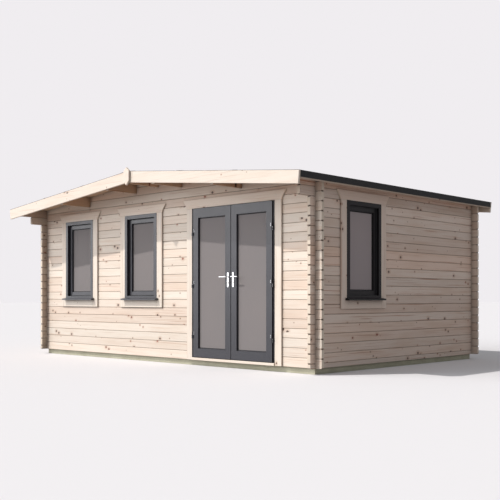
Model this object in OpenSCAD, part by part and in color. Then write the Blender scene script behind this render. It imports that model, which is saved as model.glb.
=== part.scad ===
// Log cabin: interlocking log walls, a low gable roof with a deep front overhang,
// three fixed windows and a pair of glazed doors that open outwards.
// X runs along the front, the front faces -Y and +Z is up. The origin is at ground level,
// in the middle of the roof's plan. Inside the modules, y = 0 is the outer face of the
// front wall and z = 0 is the underside of the first log: place() moves that to the origin.

/* [Walls] */
// Width over the outer faces of the side walls
wall_w = 5544; // [5450:1:6800]
// Depth over the outer faces of the front and back walls
wall_d = 3574; // [2800:1:4800]
// Height that the side walls are built up to, rounded to whole courses
wall_h = 2184; // [2140:1:2700]
// Height of one course of logs
log_h = 112; // [93:1:140]
// Thickness of a log
log_t = 44; // [36:1:56]
// Length of the log ends that run on past each corner
log_out = 91; // [60:1:120]
// Chamfer along each log, two of which make the groove between courses
groove = 6; // [3:1:9]
// Chamfer above and below the end of each log
end_cut = 12; // [4:1:18]
// Reach of the second log from the top, which steps out under the front overhang
corbel_out = 273; // [200:1:400]

/* [Base] */
// Height of the bearers under the walls
bearer_h = 72; // [45:1:100]
// Width of a bearer
bearer_w = 44; // [38:1:70]
// Distance of the bearers in from the outer faces of the walls
bearer_inset = 34; // [10:1:60]
// Thickness of the floor
floor_t = 18; // [16:1:28]

/* [Roof] */
// Pitch of the roof in degrees
pitch = 5.67; // [3:0.01:9]
// Reach of the roof past the side walls
eave_out = 198; // [120:1:300]
// Reach of the roof past the front wall
front_out = 519; // [420:1:800]
// Reach of the roof past the back wall
back_out = 184; // [140:1:400]
// Thickness of the roof boards
board_t = 19; // [16:1:28]
// Thickness of the felt
felt_t = 4; // [2:1:6]
// Depth of the felt turned down over each eave
felt_drop = 71; // [40:1:80]
// Height of the board along each eave
eave_board_h = 85; // [82:1:120]
// Thickness of the board along each eave
eave_board_t = 18; // [14:1:28]
// Height of a bargeboard, measured upright
barge_h = 148; // [110:1:200]
// Thickness of a bargeboard
barge_t = 28; // [14:1:32]
// Width of a purlin
purlin_w = 44; // [40:1:80]
// Height of a purlin
purlin_h = 140; // [90:1:170]
// Distance of the inner purlins from the ridge
inner_purlin_x = 480; // [350:1:800]
// Distance of the outer purlins from the ridge
outer_purlin_x = 1582; // [1200:1:2000]
// Width of the plate that covers the joint of the bargeboards
finial_w = 112; // [80:1:160]
// Thickness of that plate
finial_t = 28; // [12:1:32]

/* [Windows] */
// Width of a window frame
window_w = 699; // [500:1:780]
// Height of a window frame
window_h = 1181; // [800:1:1240]
// Distance of the window frames' tops below the top of the side walls
window_drop = 219; // [200:1:400]
// Middle of the first front window from the left wall's outer face
window_1_x = 950; // [760:1:1000]
// Middle of the second front window from the left wall's outer face
window_2_x = 2419; // [2200:1:2480]
// Middle of the side window from the front wall's outer face
window_3_y = 912; // [760:1:1600]
// Depth of a window frame
frame_t = 70; // [60:1:90]
// Width of a frame's face
frame_face = 50; // [40:1:65]
// Distance that frames stand out from the wall
frame_out = 22; // [22:1:44]
// Width of a sash's face
sash_face = 60; // [45:1:75]
// Thickness of a sash
sash_t = 48; // [40:1:60]
// Distance of a sash back from its frame's face
sash_back = 38; // [20:1:44]
// Thickness of the sealed glass units
glass_t = 20; // [14:1:22]
// Distance of the glass back from the sash's or door's face
glass_back = 24; // [16:1:26]
// Reach of a sill out from the wall
sill_out = 76; // [60:1:100]
// Length of a sill past each side of its frame
sill_past = 30; // [10:1:50]

/* [Trim] */
// Width of the boards beside and below a window and beside the doors
trim_w = 108; // [80:1:120]
// Thickness of the boards round the openings
trim_t = 20; // [14:1:22]
// Height of the boards over the openings
head_h = 115; // [80:1:130]
// Spread of the top of those boards at each end
head_flare = 72; // [0:1:90]

/* [Doors] */
// Width over the door frame
door_w = 1444; // [1200:1:1740]
// Height of the doors' opening, from the first log's underside to the head
door_h = 1966; // [1900:1:2000]
// Middle of the doors from the right wall's outer face
door_x = 1331; // [1220:1:1500]
// Gap between the frame's outer side and a leaf, where the hinges are
hinge_gap = 28; // [24:1:40]
// Gap between the two leaves
leaf_gap = 10; // [9:1:14]
// Thickness of a leaf
leaf_t = 44; // [40:1:50]
// Distance that the leaves stand out from the wall
leaf_out = 32; // [26:1:40]
// Width of a leaf's upright members
stile_w = 95; // [80:1:120]
// Height of a leaf's top member
top_rail_h = 120; // [90:1:150]
// Height of a leaf's bottom member
bottom_rail_h = 112; // [90:1:150]
// Height of the threshold
sill_h = 32; // [24:1:40]
// Gap between a leaf and the threshold below it
leaf_rise = 8; // [6:1:14]
// Height of the levers' spindles
lever_z = 1068; // [950:1:1150]
// Length of a lever
lever_l = 109; // [90:1:130]
// Distance of a lever's spindle from the leaf's edge
lever_in = 40; // [34:1:48]

/* [Hidden] */

// Colours
spruce = "#e9d9c0";
trim_wood = "#efe2cd";
treated = "#a8a47c";
plastic = "#4c4d52";
glazing = "#8d8a88";
felt_black = "#2a2a2c";
bright = "#e4e6ea";

// Gap between two pieces that meet
gap = 0.4;
// A length that takes a cut clear of what it cuts
past = 1;

half_w = wall_w / 2;
// Whole courses in the side walls, above the half log that they start with
side_courses = round(wall_h / log_h - 0.5);
wall_top = (side_courses + 0.5) * log_h;
// Depth of the notch in the top and the bottom of a log where two walls cross
notch = log_h / 4;

roof_half = half_w + eave_out;
rise = tan(pitch);
board_v = board_t / cos(pitch);
felt_v = felt_t / cos(pitch);
roof_front = -front_out;
roof_back = wall_d + back_out;
y_shift = -(roof_front + roof_back) / 2;
// Height of the underside of the roof boards at a distance x from the ridge
function soffit(x) = wall_top + (half_w - abs(x)) * rise;
front_courses = ceil(soffit(0) / log_h);
// Ends of everything that runs between the bargeboards
inner_front = roof_front + barge_t + gap;
inner_back = roof_back - barge_t - gap;

purlin_x = [-outer_purlin_x, -inner_purlin_x, 0, inner_purlin_x, outer_purlin_x];

window_z = wall_top - window_drop - window_h;
window_x = [window_1_x - half_w, window_2_x - half_w];
door_mid = half_w - door_x;

// Door frame: a thin outer lip, a body behind the hinge gap, and a stop behind the leaves
lip_w = 6;
lip_out = 26;
body_y = 8;
stop_y = leaf_t - leaf_out + 6;
frame_back = 60;
body_w = hinge_gap - 7;
stop_w = hinge_gap + 19;
head_t = 18;
door_top = door_h + head_t;
leaf_w = (door_w - 2 * hinge_gap - leaf_gap) / 2;
leaf_z = sill_h + leaf_rise;
leaf_h = door_h - 6 - leaf_z;
split_course = floor((door_h - past) / log_h);

// Hinges, worked from each leaf's own corner
axis_in = 2.5;
knuckle_r = 8;
knuckle_h = 44;
pin_r = 4;
bore_r = 4.3;
hinge_z = [leaf_z + 240, leaf_z + 895, leaf_z + 1570];
hinge_plate_w = 28;
hinge_plate_t = 4;

// Lever handles
plate_w = 30;
plate_h = 189;
plate_t = 8;
plate_below = 131;
spindle_r = 5;
spindle_bore = 6;
neck_r = 10;
arm_r = 8.5;
arm_out = 52;
neck_l = arm_out - 1.5;

module place() {
    translate([0, y_shift, bearer_h])
        children();
}

// A bar along X whose section is drawn in y and z
module bar_x(x0, x1, points) {
    translate([x0, 0, 0])
        rotate([90, 0, 90])
            linear_extrude(x1 - x0)
                polygon(points);
}

// A bar along Y whose section is drawn in x and z
module bar_y(y0, y1, points) {
    translate([0, y1, 0])
        rotate([90, 0, 0])
            linear_extrude(y1 - y0)
                polygon(points);
}

module box(low, high) {
    translate(low)
        cube(high - low);
}

// Section of a log, from across = 0 to log_t and from z0 to z1
function log_section(across, z0, z1, low_cut, top_cut) = concat(
    low_cut > 0 ? [[across + low_cut, z0], [across + log_t - low_cut, z0],
        [across + log_t, z0 + low_cut]] : [[across, z0], [across + log_t, z0]],
    top_cut > 0 ? [[across + log_t, z1 - top_cut], [across + log_t - top_cut, z1],
        [across + top_cut, z1], [across, z1 - top_cut]]
        : [[across + log_t, z1], [across, z1]],
    low_cut > 0 ? [[across, z0 + low_cut]] : []);

// Side view of a log from a to b and from z0 to z1, its ends chamfered
function log_outline(a, b, z0, z1) = [[a + end_cut, z0], [b - end_cut, z0], [b, z0 + end_cut],
    [b, z1 - end_cut], [b - end_cut, z1], [a + end_cut, z1], [a, z1 - end_cut], [a, z0 + end_cut]];

// What the crossing wall takes out of the logs between z0 and z1: low and high notches
// in a square of the plan whose corner is at [x, y]
module crossing(x, y, z0, z1, low, high) {
    if (low > 0)
        box([x - gap, y - gap, z0 - past], [x + log_t + gap, y + log_t + gap, z0 + low]);
    if (high > 0)
        box([x - gap, y - gap, z1 - high], [x + log_t + gap, y + log_t + gap, z1 + past]);
}

// Everything below the roof boards
module below_roof() {
    bar_y(roof_front, roof_back, [[-roof_half, 0], [roof_half, 0],
        [roof_half, soffit(roof_half) - gap], [0, soffit(0) - gap],
        [-roof_half, soffit(roof_half) - gap]]);
}

// Room for the purlins to pass through a gable
module purlin_slots() {
    for (x = purlin_x)
        box([x - purlin_w / 2 - gap, -past, soffit(abs(x) + purlin_w / 2) - purlin_h - gap],
            [x + purlin_w / 2 + gap, wall_d + past, soffit(0)]);
}

// One course of a front or back wall, whose outer or inner face is at y, between x0 and x1
module course_x(i, y, x0, x1) {
    z0 = i * log_h + gap / 2;
    z1 = (i + 1) * log_h - gap / 2;
    intersection() {
        difference() {
            bar_x(x0, x1, log_section(y, z0, z1, i > 0 ? groove : 0, groove));
            crossing(-half_w, y, z0, z1, notch, notch);
            crossing(half_w - log_t, y, z0, z1, notch, notch);
            if (z1 > soffit(outer_purlin_x) - purlin_h - past)
                purlin_slots();
            if (y < wall_d / 2)
                front_holes();
        }
        bar_y(y - past, y + log_t + past, log_outline(x0, x1, z0, z1));
        if (z1 > soffit(roof_half) - past)
            below_roof();
    }
}

// One course of a side wall, whose outer or inner face is at x. Course 0 is a half log.
module course_y(j, x, y0, y1) {
    z0 = max(0, (j - 0.5) * log_h) + gap / 2;
    z1 = (j + 0.5) * log_h - gap / 2;
    intersection() {
        difference() {
            bar_y(y0, y1, log_section(x, z0, z1, j > 0 ? groove : 0, j < side_courses ? groove : 0));
            crossing(x, 0, z0, z1, j > 0 ? notch : 0, notch);
            crossing(x, wall_d - log_t, z0, z1, j > 0 ? notch : 0, notch);
            if (x > 0)
                at_window(3)
                    window_hole();
        }
        if (j < side_courses)
            bar_x(x - past, x + log_t + past, log_outline(y0, y1, z0, z1));
    }
}

// Moves what follows to a window's own frame: x along the wall from its middle, y = 0 at
// the wall's outer face and going in, and z = 0 at the bottom of its frame
module at_window(n) {
    if (n == 3)
        translate([half_w, window_3_y, window_z])
            rotate([0, 0, 90])
                children();
    else
        translate([window_x[n - 1], 0, window_z])
            children();
}

module window_hole() {
    box([-window_w / 2 - gap, -past, 0], [window_w / 2 + gap, log_t + past, window_h + gap]);
}

module front_holes() {
    at_window(1)
        window_hole();
    at_window(2)
        window_hole();
    box([door_mid - door_w / 2 - gap, -past, -past],
        [door_mid + door_w / 2 + gap, log_t + past, door_top + gap]);
}

module bearers() {
    color(treated)
        place() {
            x_out = half_w - bearer_inset;
            y_out = wall_d - bearer_inset;
            for (y = [bearer_inset, y_out - bearer_w])
                box([-x_out, y, -bearer_h], [x_out, y + bearer_w, 0]);
            bays = ceil((2 * x_out - bearer_w) / 590);
            for (i = [0:bays]) {
                x = -x_out + i * (2 * x_out - bearer_w) / bays;
                box([x, bearer_inset + bearer_w + gap, -bearer_h],
                    [x + bearer_w, y_out - bearer_w - gap, 0]);
            }
        }
}

module floor_slab() {
    color(spruce)
        place()
            difference() {
                box([-half_w + log_t + gap, log_t + gap, gap],
                    [half_w - log_t - gap, wall_d - log_t - gap, gap + floor_t]);
                box([door_mid - door_w / 2 - gap, 0, 0],
                    [door_mid + door_w / 2 + gap, frame_back + gap, floor_t + past]);
            }
}

module front_wall_left() {
    color(spruce)
        place()
            for (i = [0:split_course - 1])
                course_x(i, 0, -half_w - log_out, door_mid);
}

module front_wall_right() {
    color(spruce)
        place()
            for (i = [0:split_course - 1])
                course_x(i, 0, door_mid, half_w + log_out);
}

module front_gable() {
    color(spruce)
        place()
            for (i = [split_course:front_courses - 1])
                course_x(i, 0, -half_w - log_out, half_w + log_out);
}

module back_wall() {
    color(spruce)
        place()
            for (i = [0:front_courses - 1])
                course_x(i, wall_d - log_t, -half_w - log_out, half_w + log_out);
}

// A side wall, whose face nearer -X is at x. Its top log carries the roof out to the
// bargeboards, and the one below steps out under the front overhang.
module side_wall(x) {
    color(spruce)
        place()
            for (j = [0:side_courses])
                course_y(j, x,
                    j == side_courses ? inner_front : j == side_courses - 1 ? -corbel_out : -log_out,
                    j == side_courses ? inner_back : wall_d + log_out);
}

// Section of a purlin at x from the ridge, its top cut to the slope of the boards
function purlin_section(x) =
    let (low = soffit(abs(x) + purlin_w / 2) - purlin_h, a = x - purlin_w / 2, b = x + purlin_w / 2)
    concat([[a, low], [b, low], [b, soffit(b) - gap]], x == 0 ? [[0, soffit(0) - gap]] : [],
        [[a, soffit(a) - gap]]);

module purlins() {
    color(spruce)
        place()
            for (x = purlin_x)
                bar_y(inner_front, inner_back, purlin_section(x));
}

// Half of a sheet laid on the roof, on the side of the ridge that side = -1 or 1 names,
// from x0 to x1 and from `up` to `up + thick` above the underside of the boards
module roof_sheet(side, x0, x1, up, thick, y0, y1) {
    bar_y(y0, y1, [[side * x0, soffit(x0) + up], [side * x1, soffit(x1) + up],
        [side * x1, soffit(x1) + up + thick], [side * x0, soffit(x0) + up + thick]]);
}

eave_x = roof_half - felt_t - gap;

module roof_boards(side) {
    color(spruce)
        place()
            roof_sheet(side, gap / 2, eave_x - eave_board_t - gap, 0, board_v,
                inner_front, inner_back);
}

module roof_felt(side) {
    color(felt_black)
        place() {
            roof_sheet(side, gap / 2, roof_half, board_v + gap, felt_v, roof_front, roof_back);
            flap_top = soffit(roof_half) + board_v;
            flap = [[eave_x + gap, flap_top - felt_drop], [roof_half, flap_top - felt_drop],
                [roof_half, flap_top], [eave_x + gap, flap_top]];
            bar_y(inner_front, inner_back, [for (p = flap) [side * p[0], p[1]]]);
        }
}

module eave_boards() {
    color(spruce)
        place()
            for (side = [-1, 1]) {
                x0 = eave_x - eave_board_t;
                low = soffit(eave_x) + board_v - eave_board_h;
                board = [[x0, low], [eave_x, low], [eave_x, soffit(eave_x) + board_v],
                    [x0, soffit(x0) + board_v]];
                bar_y(inner_front, inner_back, [for (p = board) [side * p[0], p[1]]]);
            }
}

module bargeboards() {
    // The outer ends are cut square to the slope
    cut = roof_half - barge_h * sin(pitch) * cos(pitch);
    low = board_v - barge_h;
    board = [[gap / 2, soffit(gap / 2) + low], [cut, soffit(cut) + low],
        [roof_half, soffit(roof_half) + board_v], [gap / 2, soffit(gap / 2) + board_v]];
    color(trim_wood)
        place()
            for (side = [-1, 1])
                for (y = [roof_front, roof_back - barge_t])
                    bar_y(y, y + barge_t, [for (p = board) [side * p[0], p[1]]]);
}

// A plate over the joint of the bargeboards, pointed at the bottom and peaked at the top
module finials() {
    top = soffit(0) + board_v;
    w = finial_w / 2;
    plate = [[0, top - 190], [w, top - 126], [w, top + 4], [0, top + 49], [-w, top + 4],
        [-w, top - 126]];
    color(trim_wood)
        place() {
            bar_y(roof_front - gap - finial_t, roof_front - gap, plate);
            bar_y(roof_back + gap, roof_back + gap + finial_t, plate);
        }
}

// Four members mitred into a frame, w by h outside, drawn from x = 0 and z = 0
module mitred(w, h, side, low, top, y0, y1) {
    bar_y(y0, y1, [[0, 0], [side, low], [side, h - top], [0, h]]);
    bar_y(y0, y1, [[w, 0], [w, h], [w - side, h - top], [w - side, low]]);
    bar_y(y0, y1, [[gap, 0], [w - gap, 0], [w - side - gap, low], [side + gap, low]]);
    bar_y(y0, y1, [[gap, h], [side + gap, h - top], [w - side - gap, h - top], [w - gap, h]]);
}

module window_frame(n) {
    color(plastic)
        place()
            at_window(n)
                translate([-window_w / 2, 0, gap / 2])
                    mitred(window_w, window_h - gap, frame_face, frame_face, frame_face,
                        -frame_out, frame_t - frame_out);
}

sash_w = window_w - 2 * frame_face - 2 * gap;
sash_h = window_h - gap - 2 * frame_face - 2 * gap;
sash_y = sash_back - frame_out;

module window_sash(n) {
    color(plastic)
        place()
            at_window(n)
                translate([-sash_w / 2, 0, gap / 2 + frame_face + gap])
                    mitred(sash_w, sash_h, sash_face, sash_face, sash_face,
                        sash_y, sash_y + sash_t);
}

module window_glass(n) {
    w = sash_w / 2 - sash_face - gap;
    z = gap / 2 + frame_face + gap + sash_face + gap;
    color(glazing)
        place()
            at_window(n)
                box([-w, sash_y + glass_back, z],
                    [w, sash_y + glass_back + glass_t, z + sash_h - 2 * sash_face - 2 * gap]);
}

module window_sill(n) {
    w = window_w / 2 + sill_past;
    front = -frame_out - gap;
    back = -trim_t - 2 * gap;
    color(plastic)
        place()
            at_window(n)
                bar_x(-w, w, [[-sill_out, -8], [back, -8], [back, -gap], [front, -gap],
                    [front, 20], [-sill_out, 10]]);
}

// A board over an opening that is w wide, its ends spreading towards the top
module head_board(w, z) {
    a = w / 2 + trim_w;
    b = a + head_flare;
    bar_y(-trim_t - gap, -gap, [[-a, z], [a, z], [b, z + head_h], [-b, z + head_h]]);
}

module window_trim(n) {
    w = window_w / 2 + gap;
    foot = -trim_w - gap;
    color(trim_wood)
        place()
            at_window(n) {
                head_board(window_w, window_h + gap);
                for (side = [-1, 1])
                    box([side < 0 ? -w - trim_w : w, -trim_t - gap, foot],
                        [side < 0 ? -w : w + trim_w, -gap, window_h]);
                box([-w + gap, -trim_t - gap, foot], [w - gap, -gap, -gap]);
            }
}

// Moves what follows to the doors' own frame: x = 0 at the middle of the opening
module at_doors() {
    place()
        translate([door_mid, 0, 0])
            children();
}

// A shape drawn from the left side of the opening, and mirrored for the right
module for_side(side) {
    if (side < 0)
        children();
    else
        mirror([1, 0, 0])
            children();
}

module door_frame() {
    edge = -door_w / 2;
    color(plastic)
        at_doors() {
            for (side = [-1, 1])
                for_side(side)
                    translate([0, 0, sill_h + gap])
                        linear_extrude(door_h - sill_h - 2 * gap)
                            polygon([[edge, -lip_out], [edge + lip_w, -lip_out],
                                [edge + lip_w, body_y], [edge + body_w, body_y],
                                [edge + body_w, stop_y], [edge + stop_w, stop_y],
                                [edge + stop_w, frame_back], [edge, frame_back]]);
            box([edge, gap, door_h], [-edge, frame_back, door_top]);
            box([edge + stop_w + gap, stop_y, door_h - 22],
                [-edge - stop_w - gap, frame_back, door_h + past]);
        }
}

module door_threshold() {
    edge = door_w / 2;
    color(trim_wood)
        at_doors()
            bar_x(-edge, edge, [[-leaf_out, gap], [frame_back, gap], [frame_back, sill_h],
                [-leaf_out + 6, sill_h], [-leaf_out, sill_h - 6]]);
}

module door_trim() {
    edge = door_w / 2 + gap;
    color(trim_wood)
        at_doors() {
            head_board(door_w, door_h + gap);
            for (side = [-1, 1])
                for_side(side)
                    box([-edge - trim_w, -trim_t - gap, gap], [-edge, -gap, door_h]);
        }
}

// Moves what follows to a leaf's own frame: x = 0 at its hinge edge, z = 0 at its foot
module at_leaf(side) {
    at_doors()
        for_side(side)
            translate([-door_w / 2 + hinge_gap, 0, leaf_z])
                children();
}

// The knuckles and pins that the frame carries, on blocks that fill its hinge gap
module frame_hinges() {
    color(plastic)
        for (side = [-1, 1])
            at_leaf(side)
                for (z = hinge_z)
                    translate([0, 0, z - leaf_z]) {
                        box([-hinge_gap + lip_w + gap, -leaf_out - knuckle_r, 0],
                            [-6, body_y - gap, knuckle_h]);
                        translate([-axis_in, -leaf_out - knuckle_r, 0]) {
                            cylinder(r = knuckle_r, h = knuckle_h, $fn = 48);
                            cylinder(r = pin_r, h = 2 * knuckle_h - 4, $fn = 48);
                        }
                    }
}

module door_leaf(side) {
    color(plastic)
        at_leaf(side)
            difference() {
                mitred(leaf_w, leaf_h, stile_w, bottom_rail_h, top_rail_h,
                    -leaf_out, leaf_t - leaf_out);
                translate([leaf_w - lever_in, leaf_t, lever_z - leaf_z])
                    rotate([90, 0, 0])
                        cylinder(r = spindle_bore, h = 2 * leaf_t, $fn = 48);
            }
}

module door_glass(side) {
    color(glazing)
        at_leaf(side)
            box([stile_w + gap, glass_back - leaf_out, bottom_rail_h + gap],
                [leaf_w - stile_w - gap, glass_back - leaf_out + glass_t,
                leaf_h - top_rail_h - gap]);
}

// The hinge knuckles that a leaf carries, each on a plate that is screwed to its face
module leaf_hinges(side) {
    color(plastic)
        at_leaf(side)
            for (z = hinge_z)
                translate([0, 0, z - leaf_z + knuckle_h + 1])
                    difference() {
                        union() {
                            translate([-axis_in, -leaf_out - knuckle_r, 0])
                                cylinder(r = knuckle_r, h = knuckle_h, $fn = 48);
                            box([-axis_in, -leaf_out - gap - hinge_plate_t, 0],
                                [hinge_plate_w, -leaf_out - gap, knuckle_h]);
                        }
                        translate([-axis_in, -leaf_out - knuckle_r, -past])
                            cylinder(r = bore_r, h = knuckle_h + 2 * past, $fn = 48);
                    }
}

// The long plates of the handle, one on each face of a leaf
module handle_plates(side) {
    x = leaf_w - lever_in;
    z = lever_z - leaf_z;
    color(bright)
        at_leaf(side)
            for (y = [-leaf_out - gap - plate_t, leaf_t - leaf_out + gap])
                difference() {
                    box([x - plate_w / 2, y, z - plate_below],
                        [x + plate_w / 2, y + plate_t, z - plate_below + plate_h]);
                    translate([x, y + plate_t + past, z])
                        rotate([90, 0, 0])
                            cylinder(r = spindle_bore, h = plate_t + 2 * past, $fn = 48);
                }
}

// A lever outside and one inside, on one spindle through the leaf
module lever(side) {
    outer = -leaf_out - gap - plate_t;
    inner = leaf_t - leaf_out + gap + plate_t;
    color(bright)
        at_leaf(side)
            translate([leaf_w - lever_in, 0, lever_z - leaf_z]) {
                translate([0, inner + neck_l, 0])
                    rotate([90, 0, 0])
                        cylinder(r = spindle_r, h = inner - outer + 2 * neck_l, $fn = 48);
                translate([0, outer - gap, 0])
                    rotate([90, 0, 0])
                        cylinder(r = neck_r, h = neck_l, $fn = 48);
                translate([0, inner + gap + neck_l, 0])
                    rotate([90, 0, 0])
                        cylinder(r = neck_r, h = neck_l, $fn = 48);
                for (y = [outer - gap - arm_out + arm_r, inner + gap + arm_out - arm_r])
                    translate([-lever_l, y, 0]) {
                        rotate([0, 90, 0])
                            cylinder(r = arm_r, h = lever_l, $fn = 48);
                        sphere(r = arm_r, $fn = 48);
                    }
            }
}

bearers();
floor_slab();  // floor
front_wall_left();
front_wall_right();
front_gable();
back_wall();
side_wall(-half_w);  // left_wall
side_wall(half_w - log_t);  // right_wall
purlins();
roof_boards(-1);  // left_roof_boards
roof_boards(1);  // right_roof_boards
roof_felt(-1);  // left_roof_felt
roof_felt(1);  // right_roof_felt
eave_boards();
bargeboards();
finials();
window_frame(1);  // window_1_frame
window_sash(1);  // window_1_sash
window_glass(1);  // window_1_glass
window_sill(1);  // window_1_sill
window_trim(1);  // window_1_trim
window_frame(2);  // window_2_frame
window_sash(2);  // window_2_sash
window_glass(2);  // window_2_glass
window_sill(2);  // window_2_sill
window_trim(2);  // window_2_trim
window_frame(3);  // window_3_frame
window_sash(3);  // window_3_sash
window_glass(3);  // window_3_glass
window_sill(3);  // window_3_sill
window_trim(3);  // window_3_trim
door_frame();
door_threshold();
door_trim();
frame_hinges();
door_leaf(-1);  // left_door_leaf
door_glass(-1);  // left_door_glass
leaf_hinges(-1);  // left_hinges
handle_plates(-1);  // left_plates
lever(-1);  // left_lever
door_leaf(1);  // right_door_leaf
door_glass(1);  // right_door_glass
leaf_hinges(1);  // right_hinges
handle_plates(1);  // right_plates
lever(1);  // right_lever
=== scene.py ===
"""The look of the log cabin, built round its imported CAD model.

Lengths are in metres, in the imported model's frame: X runs along the front, the front faces -Y,
Z is up and the ground is at 0. The bearers, logs, purlins, eave boards, frames, sashes, sills,
leaves and glass are the CAD solids with new materials. Trims, roof planks, felt, bargeboards,
finials, the floor, the threshold, hinges and handles are finer meshes that stand for their CAD
solids. Beads, gaskets and seals are added.
"""

import math
import random

import bpy
from mathutils import Matrix, Vector


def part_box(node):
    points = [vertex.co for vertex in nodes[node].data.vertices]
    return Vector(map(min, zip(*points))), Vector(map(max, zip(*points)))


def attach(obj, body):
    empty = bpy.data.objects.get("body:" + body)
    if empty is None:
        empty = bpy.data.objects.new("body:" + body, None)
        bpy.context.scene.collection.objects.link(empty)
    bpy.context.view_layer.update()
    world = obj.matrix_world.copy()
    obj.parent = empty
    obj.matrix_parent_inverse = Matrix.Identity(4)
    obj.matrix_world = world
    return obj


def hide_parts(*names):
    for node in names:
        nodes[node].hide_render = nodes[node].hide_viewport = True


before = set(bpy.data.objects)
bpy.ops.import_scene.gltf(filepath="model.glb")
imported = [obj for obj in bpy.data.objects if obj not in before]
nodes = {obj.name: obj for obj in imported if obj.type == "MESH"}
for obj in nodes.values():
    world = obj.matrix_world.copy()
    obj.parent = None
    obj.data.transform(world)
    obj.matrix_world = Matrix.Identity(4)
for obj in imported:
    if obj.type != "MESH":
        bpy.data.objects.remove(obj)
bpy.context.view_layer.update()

GAP = 0.0004  # between two pieces that meet
COURSE = 0.112  # height of a course of logs
BOARD_UV = 0.1  # nominal width of a board where its place comes from UVs
KNOT_CELL = 0.42  # length of board that may hold a knot

front_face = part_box("front_gable")[0].y
right_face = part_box("right_wall")[1].x
log_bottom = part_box("left_wall")[0].z - GAP / 2
roof_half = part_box("right_roof_felt")[1].x


# ---------------------------------------------------------------- shader graphs


class Graph:
    """A material, or a world, being made: most methods add a node and return its output."""

    def __init__(self, name, world=None):
        self.owner = bpy.data.materials.new(name) if world is None else world
        self.owner.use_nodes = True
        self.tree = self.owner.node_tree
        self.tree.nodes.clear()

    def node(self, kind, **settings):
        made = self.tree.nodes.new(kind)
        for key, value in settings.items():
            setattr(made, key, value)
        return made

    def feed(self, socket, value):
        if isinstance(value, bpy.types.NodeSocket):
            self.tree.links.new(value, socket)
        else:
            socket.default_value = value

    def wire(self, made, *values):
        """Feeds a node's inputs in order, and returns its first output."""
        for socket, value in zip(made.inputs, values):
            self.feed(socket, value)
        return made.outputs[0]

    def math(self, operation, *values):
        return self.wire(self.node("ShaderNodeMath", operation=operation), *values)

    def times(self, a, b):
        return self.math("MULTIPLY", a, b)

    def length(self, a, b):
        return self.math("SQRT", self.math("ADD", self.times(a, a), self.times(b, b)))

    def bands(self, distance, pitch, power):
        """Light and dark bands a pitch apart. A higher power makes the light ones narrower."""
        wave = self.math("SINE", self.times(distance, math.tau / pitch))
        return self.math("POWER", self.math("MULTIPLY_ADD", wave, 0.5, 0.5), power)

    def vector(self, x, y, z=0.0):
        return self.wire(self.node("ShaderNodeCombineXYZ"), x, y, z)

    def split(self, vector):
        made = self.node("ShaderNodeSeparateXYZ")
        self.feed(made.inputs[0], vector)
        return made.outputs[:]

    def coordinates(self, kind):
        return self.node("ShaderNodeTexCoord").outputs[kind]

    def noise(self, vector, scale, detail=2.0, roughness=0.5):
        made = self.node("ShaderNodeTexNoise")
        self.feed(made.inputs["Vector"], vector)
        made.inputs["Scale"].default_value = scale
        made.inputs["Detail"].default_value = detail
        made.inputs["Roughness"].default_value = roughness
        return made.outputs["Fac"]

    def randoms(self, vector):
        made = self.node("ShaderNodeTexWhiteNoise")
        self.feed(made.inputs["Vector"], vector)
        return self.split(made.outputs["Color"])

    def smooth(self, value, low, high, to_low=0.0, to_high=1.0):
        made = self.node("ShaderNodeMapRange", interpolation_type="SMOOTHSTEP")
        return self.wire(made, value, low, high, to_low, to_high)

    def mix(self, factor, a, b, blend="MIX"):
        made = self.node("ShaderNodeMix", data_type="RGBA", blend_type=blend)
        self.feed(made.inputs[0], factor)
        self.feed(made.inputs[6], a)
        self.feed(made.inputs[7], b)
        return made.outputs[2]

    def bump(self, height, distance, strength=1.0):
        made = self.node("ShaderNodeBump")
        made.inputs["Strength"].default_value = strength
        made.inputs["Distance"].default_value = distance
        self.feed(made.inputs["Height"], height)
        return made.outputs[0]

    def painted_corner_shade(self, tone, reach, floor):
        """The tone with painted shade: darker in joints and inside corners, where less light
        reaches.
        """
        made = self.node("ShaderNodeAmbientOcclusion", samples=8)
        made.inputs["Distance"].default_value = reach
        open_part = self.smooth(made.outputs["AO"], 0.15, 0.95, floor, 1.0)
        return self.mix(1.0, tone, self.vector(open_part, open_part, open_part), "MULTIPLY")

    def shader(self, kind, **values):
        """A shader whose named sockets take these values."""
        made = self.node(kind)
        for key, value in values.items():
            self.feed(made.inputs[key.replace("_", " ")], value)
        return made.outputs[0]

    def show(self, shader, kind="Material"):
        """Makes a shader the result, and returns the finished material or world."""
        self.feed(self.node(f"ShaderNodeOutput{kind}").inputs[0], shader)
        return self.owner

    def surface(self, **values):
        """A finished material with one Principled surface."""
        return self.show(self.shader("ShaderNodeBsdfPrincipled", **values))

    def seen(self):
        """One for what the camera sees, in mirrors and through glass too, and else nought."""
        rays = self.node("ShaderNodeLightPath").outputs
        indirect = self.math("MAXIMUM", rays["Is Glossy Ray"], rays["Is Transmission Ray"])
        return self.math("MAXIMUM", rays["Is Camera Ray"], indirect)


def colour(red, green, blue):
    return (red, green, blue, 1.0)


# ---------------------------------------------------------------- materials


SAWN_PALE = colour(0.83, 0.73, 0.62)
SAWN_LATE = colour(0.58, 0.43, 0.31)


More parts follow.
